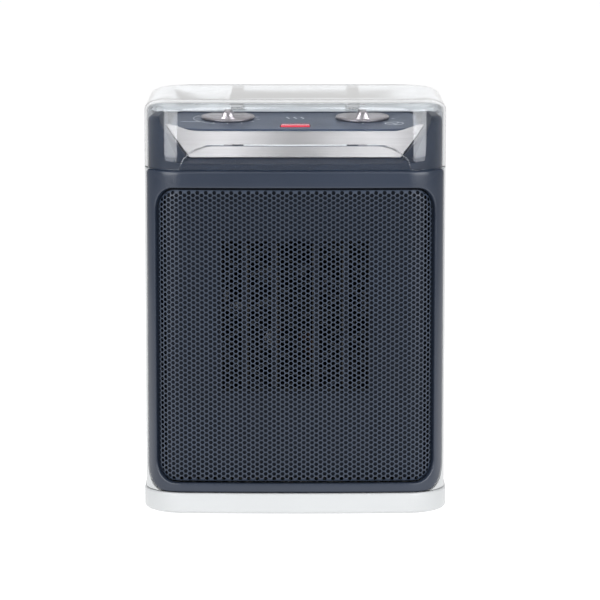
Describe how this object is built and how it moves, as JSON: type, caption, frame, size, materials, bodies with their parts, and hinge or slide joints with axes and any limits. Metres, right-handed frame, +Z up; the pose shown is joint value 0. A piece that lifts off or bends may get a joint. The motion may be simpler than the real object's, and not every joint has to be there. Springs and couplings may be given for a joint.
{
  "type": "ceramic space heater",
  "caption": "Compact upright fan heater with a honeycomb outlet grille, sloping control console with rotary knobs and a clear hinged cover, free-standing on rubber feet",
  "frame": {"origin": "On the floor, at the middle of the base's outline; the rubber feet stand at Z = 0", "axes": "+Z up along the heater's height, -Y towards the front grille, +X towards the right-hand side seen from the front"},
  "size_m": [0.2074, 0.1544, 0.2835],
  "materials": {
    "white_plastic": "white moulded plastic with a soft gloss",
    "navy_plastic": "dark blue-grey moulded plastic, satin gloss",
    "grille_metal": "thin perforated steel, dark blue paint",
    "panel_film": "satin printed panel in dark slate",
    "brushed_trim": "fine horizontal brushing",
    "knob_metal": "satin metallised cap with a warm tint",
    "clear_plastic": "clear moulded plastic with a slight cool tint",
    "red_lens": "translucent red lens",
    "black_plastic": "black moulded plastic",
    "aluminium": "folded thin strip",
    "ceramic": "fired heating elements in a pale sleeve",
    "steel": "zinc-plated",
    "copper": "enamelled copper winding and sintered bronze",
    "rubber": "soft black pads",
    "filter_mesh": "fine woven dust mesh"
  },
  "bodies": {
    "housing": {"air_duct": "black_plastic", "base_screw_front_left": "steel", "base_screw_front_right": "steel", "base_screw_rear_left": "steel", "base_screw_rear_right": "steel", "base_tray": "white_plastic", "console_trim": "brushed_trim", "control_console": "navy_plastic", "control_panel": "panel_film", "cord_inlet_bush": "black_plastic", "cover_pin_left": "steel", "cover_pin_right": "steel", "fan_shroud": "black_plastic", "foot_front_left": "rubber", "foot_front_right": "rubber", "foot_rear_left": "rubber", "foot_rear_right": "rubber", "front_bezel": "navy_plastic", "front_grille": "grille_metal", "heater_fins_1": "aluminium", "heater_fins_2": "aluminium", "heater_fins_3": "aluminium", "heater_fins_4": "aluminium", "heater_fins_5": "aluminium", "heater_frame": "black_plastic", "housing_shell": "white_plastic", "indicator_lamp": "red_lens", "indicator_lens": "red_lens", "motor_bearing_front": "copper", "motor_bearing_rear": "copper", "motor_bracket_front": "steel", "motor_bracket_rear": "steel", "motor_coil": "copper", "motor_stator": "steel", "outlet_baffle": "navy_plastic", "plunger_spring": "steel", "ptc_bar_1": "ceramic", "ptc_bar_2": "ceramic", "ptc_bar_3": "ceramic", "ptc_bar_4": "ceramic", "selector_body": "black_plastic", "terminal_block": "white_plastic", "thermal_cutout": "black_plastic", "thermostat_body": "black_plastic", "tip_switch_body": "black_plastic"},
    "cover": {"clear_cover": "clear_plastic"},
    "thermostat_dial": {"thermostat_knob": "knob_metal", "thermostat_spindle": "steel"},
    "selector_dial": {"selector_knob": "knob_metal", "selector_spindle": "steel"},
    "fan": {"fan_impeller": "black_plastic", "motor_shaft": "steel", "motor_rotor": "steel"},
    "intake_panel": {"intake_grille": "white_plastic", "dust_filter": "filter_mesh"},
    "plunger": {"tip_plunger": "black_plastic"},
    "switch_lever": {"tip_switch_lever": "steel"}
  },
  "joints": [
    {"name": "cover_hinge", "type": "hinge", "parent": "housing", "child": "cover", "pos_m": [0, 0.055, 0.28], "axis": [-1, 0, 0], "range_deg": [0, 100]},
    {"name": "thermostat_turn", "type": "hinge", "parent": "housing", "child": "thermostat_dial", "pos_m": [-0.0465, -0.00104, 0.26614], "axis": [0, -0.0785, 0.9969], "range_deg": [-135, 135]},
    {"name": "selector_turn", "type": "hinge", "parent": "housing", "child": "selector_dial", "pos_m": [0.0465, -0.00104, 0.26614], "axis": [0, -0.0785, 0.9969], "range_deg": [0, 135]},
    {"name": "fan_spin", "type": "hinge", "parent": "housing", "child": "fan", "pos_m": [0, 0, 0.135], "axis": [0, -1, 0], "continuous": true},
    {"name": "intake_pull", "type": "slide", "parent": "housing", "child": "intake_panel", "axis": [0, 1, 0], "range_m": [0, 0.06]},
    {"name": "plunger_slide", "type": "slide", "parent": "housing", "child": "plunger", "axis": [0, 0, -1], "range_m": [0, 0.004], "stiffness_N_per_m": 60, "springref_m": 0.006, "deforming": ["plunger_spring"]},
    {"name": "lever_tilt", "type": "hinge", "parent": "housing", "child": "switch_lever", "pos_m": [-0.036, 0.03, 0.0284], "axis": [0, -1, 0], "range_deg": [0, 10.6]}
  ],
  "couplings": [
    {"joint": "lever_tilt", "follows": "plunger_slide", "rad_per_m": 45.455}
  ]
}
